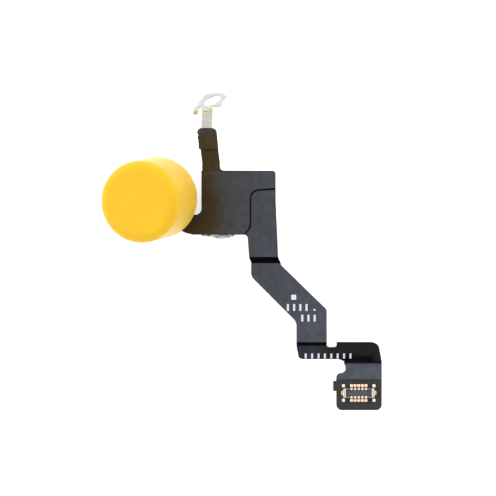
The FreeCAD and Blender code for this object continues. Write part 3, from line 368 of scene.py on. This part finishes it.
def make_finishes():
    """All the finishes: one for each material slot, and the variants that some pieces ask for."""
    # The brown here is a painted reflection of the yellow cap, and the smoke grey a painted sheen.
    black, sheen_grey, cap_reflection_brown = linear(7, 7, 9), linear(27, 28, 34), linear(42, 31, 14)
    plastic, wall_highlight = linear(66, 68, 80), linear(104, 102, 112)
    plug_middle = PLUG.translation
    return {
        # Coverlay: brown at the left, near the cap, is a painted reflection of the yellow cap; the grey band
        # over the joggle's left part is a painted sheen.
        "coverlay": finish(
            "coverlay", black, 0.14, specular=0.066, vary=0.25, grain=700, rough_vary=0.05, bump=3e-6,
            bump_grain=2500, about=(-14, 0, 1, 0),
            stops=((12.6, cap_reflection_brown), (14.4, black), (19, black), (19.7, sheen_grey), (21.4, sheen_grey), (23.2, black)),
        ),
        "bare_bend": finish(
            "bare_bend", linear(3, 3, 5), 0.10, specular=0.03, vary=0.3, grain=900, rough_vary=0.04,
            bump=3e-6, bump_grain=2500,
        ),
        # Matt coverlay: brown near the cap, greying away from it, is a painted reflection of the yellow cap.
        "matt_coverlay": finish(
            "matt_coverlay", cap_reflection_brown, 0.5, specular=0.10, vary=0.16, grain=1800, rough_vary=0.06, bump=4e-6,
            bump_grain=9000, about=(-4.4, 3, 1, 0.2),
            stops=((1.4, linear(48, 37, 14)), (9.0, linear(44, 44, 43))),
        ),
        # Shield film: brown near the cap is a painted reflection of the yellow cap; further away it turns
        # grey, then a lighter bluish grey.
        "shield_film": finish(
            "shield_film", black, 0.55, specular=0.09, vary=0.15, grain=1600, rough_vary=0.06, bump=4e-6,
            bump_grain=9000, about=(-4.4, -0.5, 1, 0.55),
            stops=(
                (0.9, linear(41, 30, 9)), (1.9, linear(45, 36, 19)), (3.0, linear(51, 49, 46)),
                (4.2, linear(53, 53, 54)), (7.0, linear(52, 54, 60)), (12.0, linear(55, 58, 63)),
                (19.0, linear(63, 67, 74)),
            ),
        ),
        "ink": finish("ink", linear(172, 178, 190), 0.6, vary=0.12, grain=9000, bump=4e-6, bump_grain=16000),
        "steel": finish(
            "steel", linear(190, 190, 192), 0.30, 1.0, vary=0.06, grain=1500, rough_vary=0.08, bump=1.5e-6,
            bump_grain=9000, stretch=(0.06, 1, 1),
        ),
        "adhesive": finish(
            "adhesive", linear(214, 212, 204), 0.45, vary=0.04, grain=600, bump=5e-6, bump_grain=1500,
        ),
        "circuit_board": finish("circuit_board", linear(20, 38, 30), 0.42, vary=0.25, grain=2500, bump=3e-6),
        "can_metal": finish(
            "can_metal", linear(214, 205, 180), 0.28, 1.0, vary=0.06, grain=1200, rough_vary=0.08, bump=2e-6,
        ),
        "silicon": finish("silicon", linear(70, 72, 84), 0.12, vary=0.2, grain=3000),
        "acoustic_mesh": finish(
            "acoustic_mesh", linear(42, 42, 45), 0.8, vary=0.3, grain=20000, bump=8e-6, bump_grain=20000,
        ),
        "gasket_foam": finish(
            "gasket_foam", linear(170, 169, 168), 0.7, vary=0.6, grain=4200, contrast=0.10, bump=2.5e-5,
            bump_grain=9000, detail=6,
        ),
        "ceramic": finish("ceramic", linear(226, 226, 222), 0.5, vary=0.03, grain=3000, bump=2e-6),
        "cool_phosphor": finish(
            "cool_phosphor", linear(226, 212, 90), 0.6, vary=0.08, grain=9000, bump=5e-6, bump_grain=18000,
        ),
        "warm_phosphor": finish(
            "warm_phosphor", linear(228, 162, 56), 0.6, vary=0.08, grain=9000, bump=5e-6, bump_grain=18000,
        ),
        "chip_parts": finish("chip_parts", linear(132, 104, 80), 0.4, vary=0.1, grain=4000, bump=2e-6),
        "holder_plastic": finish(
            "holder_plastic", linear(26, 26, 27), 0.45, vary=0.15, grain=2500, bump=4e-6, bump_grain=9000,
        ),
        "seal_rubber": finish("seal_rubber", linear(24, 24, 25), 0.62, vary=0.15, grain=3000, bump=4e-6),
        "lens_clear": finish(
            "lens_clear", (0.98, 0.99, 1.0), 0.03, rough_vary=0.01, Transmission_Weight=1.0, IOR=1.49,
        ),
        "cap_vinyl": finish(
            "cap_vinyl", linear(195, 155, 15), 0.5, specular=0.2, vary=0.03, grain=260, rough_vary=0.05,
            bump=6e-6, bump_grain=2600, Subsurface_Weight=0.35, Subsurface_Radius=(1.0, 0.5, 0.06),
            Subsurface_Scale=0.0009, Sheen_Weight=0.25, Sheen_Roughness=0.3,
        ),
        "sleeve_resin": finish(
            "sleeve_resin", linear(50, 38, 16), 0.55, specular=0.12, vary=0.3, grain=5200, contrast=0.14,
            rough_vary=0.12, bump=2e-5, bump_grain=6000, detail=5, about=(-3.1, 7.3, 1, 1),
            stops=((0.3, linear(44, 42, 38)), (0.8, linear(47, 41, 30)), (1.3, linear(50, 38, 17))),
        ),
        "lug_metal": finish(
            "lug_metal", linear(168, 166, 164), 0.4, 0.35, vary=0.12, grain=7000, rough_vary=0.12, bump=4e-6,
            bump_grain=6000,
        ),
        # The ring's finish is the lug metal made darker: painted shade.
        "ring_metal_shaded": finish(
            "ring_metal_shaded", linear(158, 158, 158), 0.4, 0.35, vary=0.08, grain=5000, rough_vary=0.12, bump=4e-6,
            bump_grain=6000,
        ),
        "pale_gold": finish(
            "pale_gold", linear(206, 198, 168), 0.4, 1.0, vary=0.1, grain=9000, rough_vary=0.1, bump=3e-6,
            bump_grain=9000,
        ),
        "folded_gold": finish(
            "folded_gold", linear(190, 182, 154), 0.6, 0.3, vary=0.08, grain=9000, rough_vary=0.1, bump=3e-6,
            bump_grain=9000, about=(0, 8.6, 0, 1),
            stops=((0.50, linear(190, 182, 154)), (0.62, linear(166, 165, 160))),
        ),
        # Dark gold for the dashes across the lug's fold: a painted dark reflection.
        "fold_reflection_gold": finish("fold_reflection_gold", linear(110, 96, 60), 0.5, 0.6, vary=0.1, grain=9000),
        # Darkest at the tab's end and paler away from it: painted shade where the tip meets the table, over
        # the tip's own gold.
        "tip_gold_shaded": finish(
            "tip_gold_shaded", linear(122, 108, 70), 0.4, 1.0, vary=0.12, grain=7000, rough_vary=0.08,
            about=(-4.10, 8.60, 1, 1),
            stops=(
                (0.12, linear(128, 114, 74)), (0.26, linear(158, 146, 112)), (0.42, linear(184, 180, 166)),
            ),
        ),
        "gold": finish("gold", linear(240, 212, 162), 0.34, 1.0, vary=0.04, grain=5000, rough_vary=0.05),
        # Contacts coloured by distance from the plug's middle line: pale where they top the wall, a painted
        # highlight; a dark band on their outer legs, painted shade; then pale feet.
        "contact_gold_painted_light": finish(
            "contact_gold_painted_light", linear(250, 228, 196), 0.36, 0.5, vary=0.06, grain=9000, rough_vary=0.05,
            about=(plug_middle.x, plug_middle.y, 0, 1),
            stops=(
                (0.30, linear(236, 222, 204)), (0.44, linear(232, 212, 184)), (0.50, linear(140, 104, 60)),
                (0.57, linear(196, 158, 104)), (0.68, linear(250, 228, 198)), (0.86, linear(240, 214, 180)),
            ),
        ),
        "fitting_gold": finish(
            "fitting_gold", linear(200, 180, 156), 0.42, 1.0, vary=0.06, grain=5000, rough_vary=0.05,
        ),
        "solder": finish("solder", linear(240, 236, 234), 0.4, 0.7, vary=0.05, grain=6000, rough_vary=0.06),
        # Plug housing: lighter over the tops of its long walls, a painted highlight.
        "plug_plastic": finish(
            "plug_plastic", plastic, 0.3, vary=0.2, grain=5000, bump=2e-6, bump_grain=15000,
            about=(plug_middle.x, plug_middle.y, 0, 1),
            stops=((0.0, plastic), (0.35, plastic), (0.38, wall_highlight), (0.47, wall_highlight)),
        ),
    }


# ---- mesh building -----------------------------------------------------------------------------


def link(name, mesh, slot, smooth_to=40.0, look=None):
    """Makes an object of a mesh in the row frame, with the finish of its slot, or a variant of it."""
    mesh.materials.append(finishes[look or slot])
    mesh.shade_smooth()
    mesh.set_sharp_from_angle(angle=math.radians(smooth_to))
    piece = bpy.data.objects.new(name, mesh)
    scene.collection.objects.link(piece)
    return piece


def mesh_of(name, points, faces):
    """A mesh with its doubled points joined and its faces turned outwards."""
    mesh = bpy.data.meshes.new(name)
    mesh.from_pydata(points, [], faces)
    shape = bmesh.new()
    shape.from_mesh(mesh)
    bmesh.ops.remove_doubles(shape, verts=shape.verts, dist=1e-8)
    bmesh.ops.recalc_face_normals(shape, faces=shape.faces)
    shape.to_mesh(mesh)
    shape.free()
    return mesh


def lathe(name, profile, place, slot, segments=128, warp=None, closed=False):
    """Turns (radius, height) points about the frame's axis. A closed profile makes a ring."""
    points, rings = [], []
    for radius, height in profile:
        if radius < 1e-6:
            rings.append([len(points)])
            points.append(row(place, 0, 0, height))
            continue
        ring = []
        for k in range(segments):
            angle = math.tau * k / segments
            spot = Vector((radius * math.cos(angle), radius * math.sin(angle), height))
            if warp:
                spot = warp(spot)
            ring.append(len(points))
            points.append(row(place, *spot))
        rings.append(ring)
    faces = []
    pairs = list(zip(rings, rings[1:]))
    if closed:
        pairs.append((rings[-1], rings[0]))
    for low, high in pairs:
        for k in range(segments):
            after = (k + 1) % segments
            if len(low) == 1 and len(high) == 1:
                continue
            if len(low) == 1:
                faces.append((low[0], high[after], high[k]))
            elif len(high) == 1:
                faces.append((low[k], low[after], high[0]))
            else:
                faces.append((low[k], low[after], high[after], high[k]))
    return link(name, mesh_of(name, points, faces), slot)


def round_turn(centre_r, centre_z, radius, start, end, steps):
    """Points of an arc in a lathe's profile, by angle in degrees."""
    turns = [math.radians(start + (end - start) * k / steps) for k in range(steps + 1)]
    return [(centre_r + radius * math.cos(t), centre_z + radius * math.sin(t)) for t in turns]


def sheet_grid(low, high, across, along, spot):
    """Points and faces of a closed thin sheet between the levels low and high.

    spot(i_share, j_share, z) gives the point at those shares of its width and length.
    """
    points, faces = [], []
    width = across + 1
    for z in (high, low):
        for j in range(along + 1):
            for i in range(width):
                points.append(spot(i / across, j / along, z))
    layer = width * (along + 1)
    for j in range(along):
        for i in range(across):
            a = j * width + i
            faces.append((a, a + width, a + width + 1, a + 1))
            faces.append((layer + a, layer + a + 1, layer + a + width + 1, layer + a + width))
        for a in (j * width, j * width + across):
            faces.append((a, a + width, layer + a + width, layer + a))
    for i in range(across):
        for a in (i, along * width + i):
            faces.append((a, a + 1, layer + a + 1, layer + a))
    return points, faces


def strip(
    name, fold, edges, low, high, bodies, slot, node=None, span=(0, 1), relief=None, across=60, along=24,
    look=None,
):
    """A sheet of a bend zone's laminate, between two levels, shaped along the bend.

    edges(share) gives its left and right edge, in the fold's own frame, at that share of the zone;
    span is the stretch that it covers, as shares of the zone, and may reach past both ends.
    """

    def spot(i_share, j_share, z):
        share = span[0] + (span[1] - span[0]) * j_share
        left, right = edges(share)
        x = left + (right - left) * i_share
        if relief and z == high:
            z += relief(x)
        return PATTERN @ fold.point(x, share * fold.zone, z)

    piece = link(name, mesh_of(name, *sheet_grid(low, high, across, along, spot)), slot, look=look)
    left, right = edges(0.5)
    middle = (left + right) / 2
    start = PATTERN @ fold.point(middle, 0, 0)
    end = PATTERN @ fold.point(middle, fold.zone, 0)
    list(bodies)
    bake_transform(piece)
    if node:
        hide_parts(node)
    return piece


def tracks(left, right, count, height):
    """The relief of parallel copper tracks under a coverlay."""
    pitch = (right - left) / count

    def relief(x):
        share = ((x - left) / pitch) % 1.0
        inside = min(max((share - 0.15) / 0.7, 0), 1)
        return height * math.sqrt(math.sin(math.pi * inside))

    return relief


def loft(name, tubes, slot, smooth_to=40.0, look=None):
    """A mesh of one or more tubes. Each is a list of closed rings of points, and is closed at both ends."""
    points, faces = [], []
    for rings in tubes:
        base, count = len(points), len(rings[0])
        points += [p for ring in rings for p in ring]
        for j in range(len(rings) - 1):
            a, b = base + j * count, base + (j + 1) * count
            for i in range(count):
                n = (i + 1) % count
                faces.append((a + i, a + n, b + n, b + i))
        for j in (0, len(rings) - 1):
            middle = Vector((0, 0, 0))
            for p in rings[j]:
                middle += p / count
            points.append(middle)
            start = base + j * count
            faces += [(len(points) - 1, start + i, start + (i + 1) % count) for i in range(count)]
    return link(name, mesh_of(name, points, faces), slot, smooth_to, look)


# ---- pieces ------------------------------------------------------------------------------------


def dress_cad_nodes():
    """Gives every carried-over node its finish, and a fine rounding to its sharp edges."""
    slots = {s["node"]: s["material_slot"] for s in frame["record"]["subparts"]}
    looks = {
        # The ring takes the darker copy of the lug metal, which is painted shade.
        "ground_lug_ring": "ring_metal_shaded", "lug_gold_patch": "pale_gold", "lug_gold_line": "pale_gold",
        # The gold tip's finish carries painted shade at its end.
        "lug_gold_tip": "tip_gold_shaded",
    }
    rounding = {
        "coverlay": 0.012, "shield_film": 0.010, "steel": 0.02, "can_metal": 0.03, "gold": 0.012,
        "lug_metal": 0.02, "holder_plastic": 0.03, "plug_plastic": 0.018, "ceramic": 0.02,
        "cool_phosphor": 0.02, "warm_phosphor": 0.02, "adhesive": 0.01, "circuit_board": 0.01,
        "solder": 0.03,
    }
    for name, node in frame["nodes"].items():
        slot = slots[name]
        node.data.materials.clear()
        node.data.materials.append(finishes[looks.get(name, slot)])
        if slot in rounding:
            bevel = node.modifiers.new("edge", "BEVEL")
            bevel.width = rounding[slot] * MM
            bevel.segments = 2
            bevel.limit_method = "ANGLE"
            bevel.angle_limit = math.radians(50)
            bevel.use_clamp_overlap = True
            bevel.harden_normals = True


def steady(left, right):
    """Edges that stay where they are along a bend zone."""
    return lambda share: (left, right)


def bend_strips():
    """The circuit in the tail's, the joggle's and the connector's bend zones, and the last one's film."""
    bend = (-HALF_FLEX, HALF_FLEX)
    track_count, track_height = 12, 0.006
    left, right = 1.02, 3.84
    left_drift, right_drift = 0.20, 0.25
    strip(
        "tail_bend", tail_fold, lambda share: (left + left_drift * share, right + right_drift * share), *bend,
        ("panel", "tail"), "coverlay", "tail_bend_strip",
        relief=tracks(left + left_drift, right, track_count, track_height), across=120, look="bare_bend",
    )
    left, right, margin = 5.61, 8.54, 0.15
    strip(
        "joggle_bend", joggle_fold, steady(left, right), *bend, ("tail", "joggle"), "coverlay",
        "joggle_bend_strip", relief=tracks(left + margin, right - margin, track_count, track_height),
        across=120, look="bare_bend",
    )
    left, right, inset = 10.26, 13.92, 0.03
    strip(
        "connector_bend", tab_fold, steady(left, right), *bend, ("joggle", "connector"), "coverlay",
        "connector_bend_strip",
    )
    film_end, film_taper = 1.0 + 0.19 / tab_fold.zone, 0.08
    strip(
        "connector_bend_film", tab_fold,
        lambda share: (left + inset + film_taper * max(share - 1, 0) / (film_end - 1), right - inset),
        HALF_FLEX, BENT_FILM_TOP, ("joggle", "connector"), "shield_film", span=(0.85, film_end),
    )


def finger_bend():
    """The finger's bend zone, with the matt skin that runs down over its root to the panel's film."""
    left, right, root, corner = -FINGER_LEFT - FINGER_WIDTH, -FINGER_LEFT, 0.40, 0.38
    zone = finger_fold.zone

    def edges(share):
        to_panel = root + min(share, 0) * zone
        rounding = corner - math.sqrt(max(corner**2 - max(corner - to_panel, 0) ** 2, 0))
        return left - rounding, right

    strip(
        "finger_bend", finger_fold, edges, -HALF_FLEX - 0.002, HALF_FLEX + 0.004, ("panel", "finger"),
        "matt_coverlay", "finger_bend_strip", span=(0.03 - root / zone, 1),
    )


def lug_neck():
    """The lug's folded neck, bare gold, with two lines of dark raised dashes across the fold: a painted dark
    reflection of the curved metal.
    """
    half = STEM_WIDTH / 2 / math.cos(math.radians(LUG_YAW))
    sheet = (-LUG_SHEET / 2, LUG_SHEET / 2)
    bodies = ("finger", "lug")
    strip(
        "lug_neck", lug_fold, steady(-half, half), *sheet, bodies, "gold", "ground_lug_neck",
        look="folded_gold",
    )
    # Two lines of dark dashes on the fold stand in for its dark reflection stripes: painted reflection.
    level = HALF_FLEX + LUG_SHEET + 0.010
    rise, lines = 0.016, ((8.86, 0.08), (9.08, 0.04))
    dashes, dash_share, steps = 7, 0.7, 4
    pitch = 0.94 * STEM_WIDTH / dashes
    first = dashes / 2 - (1 - dash_share) / 2
    turns = [math.tau * i / 8 for i in range(8)]
    tubes = []
    for y, wide in lines:
        for k in range(dashes):
            rings = []
            for step in range(steps + 1):
                x = STEM_X + pitch * (k - first + dash_share * step / steps)
                swell = max(math.sin(math.pi * step / steps), 0.25)
                offsets = [(wide * swell * math.cos(t), rise * swell * math.sin(t)) for t in turns]
                rings.append([PATTERN @ lug_fold.bent(x, y + ahead, level + up) for ahead, up in offsets])
            tubes.append(rings)
    piece = loft("lug_reflection_dashes", tubes, "gold", look="fold_reflection_gold")
    start, end = (PATTERN @ lug_fold.point(0, run, 0) for run in (0, lug_fold.zone))
    tuple(start)
    tuple(end)
    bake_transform(piece)


def arm():
    """The arm's bend zone, and the film that runs on from the panel over it and under the cap."""
    to_own = arm_fold.lay.inverted()

    def across_arm(low, high):
        """Edges where two lines along the flat arm cross the lines parallel to its bend axis."""

        def edges(share):
            run = ARM_ZONE * (share - 0.5)
            spots = []
            for y in (low(share), high):
                offset = (y - ARM_LINE.y - lean.y * run) / along_line.y
                spots.append((to_own @ (ARM_LINE + lean * run + along_line * offset)).x)
            return min(spots), max(spots)

        return edges

    strip(
        "arm_bend", arm_fold, across_arm(lambda share: -3.10, -1.16), -HALF_FLEX, HALF_FLEX,
        ("panel", "flash"), "coverlay", "arm_bend_strip",
    )
    strip(
        "arm_film", arm_fold, across_arm(lambda share: -3.07 + 0.05 * max(share - 0.6, 0) ** 2, -1.19),
        HALF_FLEX, BENT_FILM_TOP, ("panel", "flash"), "shield_film", span=(-0.3, 2.6), along=50,
    )


def cap():
    """The soft cap: a thin-walled moulding with a rounded closed end, a slight draft and a rolled rim."""
    rim, length, outer = HALF_FLEX + 0.08, 6.40, 3.95
    wall, end_wall = 0.48, 0.60
    corner, inner_corner, bead = 0.90, 0.5, 0.16
    waist, steps = 0.012, 18
    end, inner = rim + length, outer - wall
    straight = length - corner - 0.5
    dished_end = ((0, 0.03), (0.6, 0.03), (1.4, 0.025), (2.4, 0.01), (outer - corner - 0.25, 0))
    profile = [(radius, end - sink) for radius, sink in dished_end]
    profile += round_turn(outer - corner, end - corner, corner, 90, 0, 14)
    profile += [
        (outer - waist * math.sin(math.pi * k / steps), end - corner - straight * k / steps)
        for k in range(1, steps + 1)
    ]
    profile += [(outer - 0.005, rim + 0.40), (outer, rim + 0.30)]
    profile += round_turn(outer - bead, rim + bead, bead, 0, -90, 6)
    profile += round_turn(inner + bead, rim + bead, bead, -90, -180, 6)
    roof = end - end_wall
    profile += [(inner, rim + 1.0), (inner - 0.01, rim + 2.5), (inner - 0.02, roof - 0.55)]
    profile += round_turn(inner - 0.52, roof - inner_corner, inner_corner, 0, 90, 8)[1:]
    profile += [(2.0, roof), (0.9, roof), (0, roof)]

    def soften(spot):
        """Low, slow waves, as a soft moulding has."""
        slow = noise.noise(spot * 0.45) * 0.016
        quick = noise.noise(spot * 1.3 + Vector((7, 3, 1))) * 0.005
        wave = slow + quick
        radial = Vector((spot.x, spot.y, 0))
        if radial.length < 1e-6:
            return spot
        radial.normalize()
        share = min(1.0, math.hypot(spot.x, spot.y) / outer)
        lifted = spot + radial * wave * share
        if spot.z > end - 0.2:
            lifted.z += wave * 0.8
        return lifted

    piece = lathe("cap_moulding", profile, FLASH, "cap_vinyl", 160, soften)
    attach(piece, "cap")
    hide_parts("protective_cap")


def bell(value, middle, width):
    """A smooth bump of height 1."""
    return math.exp(-(((value - middle) / width) ** 2))


def sleeve():
    """The gritty cured sleeve over the finger's end: lumpy, with a ragged left edge and a rounded end."""
    length, half, height, under = 2.06, 0.94, 0.24, 0.12
    end_round, shoulder, foot_round = 0.42, 0.46, 0.06
    ledges = ((0.04, 0.54, 0.06), (-0.05, 0.665, 0.045), (0.03, 0.80, 0.06))
    foot_y = FINGER_END - length
    around, along = 112, 96
    rings = []
    for j in range(along + 1):
        run = 1 - (1 - j / along) ** 1.6 if j > along / 2 else j / along * 1.34
        y = foot_y + length * run
        from_end = length * (1 - run)
        close = math.sqrt(max(1 - max(1 - from_end / end_round, 0) ** 2, 0.0004))
        open_foot = math.sqrt(max(1 - max(1 - length * run / foot_round, 0) ** 2, 0.02))
        middle = FINGER_X + FINGER_LEAN * (FINGER_END - y) / FINGER_LENGTH - 0.07 * (1 - run)
        half_here = (half - shoulder * (1 - close)) * (0.985 + 0.015 * open_foot)
        top = height * (0.35 + 0.65 * close) * (0.4 + 0.6 * open_foot)
        ledge = sum(reach * bell(run, where, width) for reach, where, width in ledges)
        ring = []
        for k in range(around):
            angle = math.tau * k / around
            c, s = math.cos(angle), math.sin(angle)
            x = math.copysign(abs(c) ** 0.45, c) * half_here
            z = math.copysign(abs(s) ** 0.55, s)
            z = HALF_FLEX + top * z if z > 0 else HALF_FLEX + under * z
            spot = Vector((x, y, z * 2))
            grit = noise.fractal(spot * 5.0, 0.8, 2.0, 4) * (0.35 + 0.65 * max(run - 0.55, 0) / 0.45)
            lump = noise.noise(spot * 1.6 + Vector((3, 9, 2)))
            if c < 0:
                x -= ledge * abs(c)
            x += (0.018 * grit + 0.012 * lump) * c
            z += (0.036 * grit + 0.016 * lump) * max(s, 0)
            ring.append(row(FINGER, middle + x, y, z))
        rings.append(ring)
    piece = loft("gritty_sleeve", [rings], "sleeve_resin", 60)
    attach(piece, "finger")
    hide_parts("finger_sleeve")


def lens():
    """The flash lens: domed above, with fine prism rings below."""
    seat, thick, radius = HALF_FLEX + 1.60, 0.70, 2.95
    top = seat + thick
    chamfer, foot_chamfer = 0.06, 0.03
    dome = ((0, 0.155), (0.7, 0.15), (1.3, 0.115), (1.9, 0.055), (2.3, 0.005), (2.55, 0))
    profile = [(reach, top + rise) for reach, rise in dome]
    profile += [(radius - chamfer, top), (radius, top - chamfer)]
    profile += [(radius, seat + foot_chamfer), (radius - foot_chamfer, seat)]
    valley, tip = seat + 0.20, seat + 0.09
    profile += [(2.62, seat), (2.60, seat + 0.02), (2.60, valley)]
    rings, pitch = 12, 0.20
    for k in range(rings, 0, -1):
        profile += [(k * pitch, valley), (k * pitch - 0.02, tip)]
    profile.append((0, seat + 0.18))
    piece = lathe("lens_optic", profile, FLASH, "lens_clear", 128)
    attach(piece, "flash")
    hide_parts("flash_lens")


def seal():
    """The rubber ring round the lens holder, with two soft ribs."""
    low, tall, inner, ridge, root = HALF_FLEX + 0.95, 0.55, 3.09, 3.36, 3.24
    steps = 28
    profile = [(inner, low + tall - 0.03), (inner, low + 0.03), (inner + 0.03, low)]
    for k in range(steps + 1):
        share = k / steps
        swell = math.sqrt(abs(math.sin(math.tau * share)))
        profile.append((root + (ridge - root) * swell, low + 0.01 + (tall - 0.02) * share))
    profile.append((inner + 0.03, low + tall))
    piece = lathe("seal_ring", profile, FLASH, "seal_rubber", 128, closed=True)
    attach(piece, "flash")
    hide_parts("lens_seal")


def square_path(corners, radius):
    """A path through right-angled corners, each rounded to the radius."""
    steps = 5
    path = [corners[0]]
    for a, b, c in zip(corners, corners[1:], corners[2:]):
        back, on = (a - b).normalized() * radius, (c - b).normalized() * radius
        for k in range(steps + 1):
            turn = math.pi / 2 * k / steps
            path.append(b + back + on - on * math.cos(turn) - back * math.sin(turn))
    return path + [corners[-1]]


def strap(place, path, half_width, thickness):
    """The rings of a formed metal strap. path holds (away, height) points from its foot's tip; half_width
    gives its half width by distance along the path from the tip; place maps (across, away, height)."""
    rings, run = [], 0.0
    around = 16
    for k, spot in enumerate(path):
        before, after = path[max(k - 1, 0)], path[min(k + 1, len(path) - 1)]
        run += (spot - before).length
        tangent = (after - before).normalized()
        out = Vector((-tangent.y, tangent.x))
        wide = half_width(run)
        ring = []
        for i in range(around):
            angle = math.tau * i / around
            c, s = math.cos(angle), math.sin(angle)
            x = math.copysign(abs(c) ** 0.5, c) * wide
            lift = math.copysign(abs(s) ** 0.7, s) * thickness / 2
            level = spot + out * lift
            ring.append(PATTERN @ (place @ Vector((x, level.x, level.y))))
        rings.append(ring)
    return rings


def finer(path, step):
    """The same path with points no further apart than the step."""
    dense = [path[0]]
    for a, b in zip(path, path[1:]):
        count = max(1, math.ceil((b - a).length / step))
        dense += [a + (b - a) * k / count for k in range(1, count + 1)]
    return dense


def plug_metal():
    """The plug's contacts and end fittings: formed straps that climb its wall and turn down inside."""
    metal, clear, wall, tall, floor = 0.06, 0.01, 0.09, 0.53, 0.20
    half_length, half_plug, end_wall = 1.45, 0.46, 0.135
    pitch = 0.35

    def climb(reach, outside, inside):
        """From the foot's tip, in and up over a wall, and down on its other side."""
        top = tall + clear + metal / 2
        corners = [
            Vector((reach, metal / 2)),
            Vector((outside + clear + metal / 2, metal / 2)),
            Vector((outside + clear + metal / 2, top)),
            Vector((inside - clear - metal / 2, top)),
            Vector((inside - clear - metal / 2, floor + clear)),
        ]
        return finer(square_path(corners, 0.055), 0.03)

    def contact_width(run):
        """Wide foot with a rounded tip, then the narrower wrap."""
        tip = math.sqrt(max(1 - max(1 - run / 0.05, 0) ** 2, 0.03))
        narrow = min(max((run - 0.27) / 0.10, 0), 1)
        return (0.14 - 0.052 * narrow) * tip

    def fitting_width(run):
        """Narrow foot, then the full width of the wall, then a leg that fits inside."""
        tip = math.sqrt(max(1 - max(1 - run / 0.10, 0) ** 2, 0.05))
        wide = min(max((run - 0.20) / 0.10, 0), 1)
        inside = min(max((run - 1.0) / 0.10, 0), 1)
        return (0.22 + 0.21 * wide - 0.08 * inside) * tip

    contact = climb(0.86, half_plug, half_plug - wall)
    fitting = climb(half_length + 0.28, half_length, half_length - end_wall)
    for turn, row_name, fitting_name in ((0, "upper", "left"), (180, "lower", "right")):
        side = PLUG @ Matrix.Rotation(math.radians(turn), 4, "Z")
        places = [side @ Matrix.Translation((k * pitch, 0, 0)) for k in range(-2, 3)]
        tubes = [strap(place, contact, contact_width, metal) for place in places]
        # The contacts' finish paints highlights on their tops and shade on their outer legs.
        piece = loft(f"contacts_{row_name}", tubes, "gold", 50, "contact_gold_painted_light")
        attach(piece, "connector")
        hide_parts(f"plug_contacts_{row_name}")
        side = side @ Matrix.Rotation(math.radians(90), 4, "Z")
        rings = strap(side, fitting, fitting_width, metal)
        piece = loft(f"end_fitting_{fitting_name}", [rings], "gold", 50, "fitting_gold")
        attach(piece, "connector")
        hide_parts(f"plug_end_fitting_{fitting_name}")


def gasket():
    """The foam gasket: a soft block with a rounded, ragged skin and a sound passage through it."""
    low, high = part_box("mic_gasket")
    low, high = low / MM, high / MM
    port = 0.60
    mid = (low + high) / 2
    half_x, half_y = (high.x - low.x) / 2 - 0.02, (high.y - low.y) / 2 - 0.02
    height = high.z - low.z - 0.02
    around, out, up = 320, 20, 12

    def outline(angle):
        """The rounded rectangle's edge in a direction."""
        c, s = math.cos(angle), math.sin(angle)
        power = 9.0
        reach = (abs(c / half_x) ** power + abs(s / half_y) ** power) ** (-1 / power)
        return reach * c, reach * s

    # The section, as shares of the way out from the port and of the height: along the underside, up the skin,
    # back along the top and down the port.
    section = [(k / out, 0.0) for k in range(out + 1)]
    section += [(1.0, k / up) for k in range(1, up + 1)]
    section += [(k / out, 1.0) for k in range(out - 1, -1, -1)]
    section += [(0.0, k / up) for k in range(up - 1, 0, -1)]
    points = []
    for a in range(around):
        angle = math.tau * a / around
        ex, ey = outline(angle)
        px, py = port * math.cos(angle), port * math.sin(angle)
        for share, rise in section:
            x, y = px + (ex - px) * share, py + (ey - py) * share
            z = height * rise
            edge = share ** 6
            spot = Vector((x, y, z))
            rough = noise.fractal(spot * 2.6, 0.9, 2.0, 4)
            fine = noise.noise(spot * 11.0)
            squeeze = 1 - 0.035 * edge * (1 - abs(2 * rise - 1))
            x, y = x * squeeze, y * squeeze
            push = (0.04 + 0.055 * rough + 0.035 * fine) * (0.2 + 0.8 * edge)
            x += push * math.cos(angle)
            y += push * math.sin(angle)
            if y < 0:
                y += (0.12 - 0.20 * bell(x, 0.40, 0.9)) * edge * (y / half_y) ** 4
            if rise < 0.01:
                z += 0.018 + 0.018 * fine + 0.05 * edge * (share > 0.97)
            if rise > 0.99:
                z -= 0.004
            points.append(Vector((mid.x + x, mid.y + y, low.z + z)) * MM)
    count = len(section)
    faces = []
    for a in range(around):
        b = (a + 1) % around
        for k in range(count):
            n = (k + 1) % count
            faces.append((a * count + k, a * count + n, b * count + n, b * count + k))
    piece = link("gasket_foam", mesh_of("gasket_foam", points, faces), "gasket_foam", 60)
    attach(piece, "panel")
    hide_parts("mic_gasket")


scene.view_settings.view_transform = "Standard"
add_camera()
finishes = make_finishes()
add_world()
add_area("key", (0.10, 0.34, 0.40), 0.36, 0.9)
add_area("fill", (-0.40, 0.05, 0.30), 0.36, 0.6)
add_area("side", (0.42, -0.06, 0.28), 0.30, 0.6)
add_floor()
dress_cad_nodes()
bend_strips()
finger_bend()
lug_neck()
arm()
cap()
sleeve()
lens()
seal()
plug_metal()
gasket()
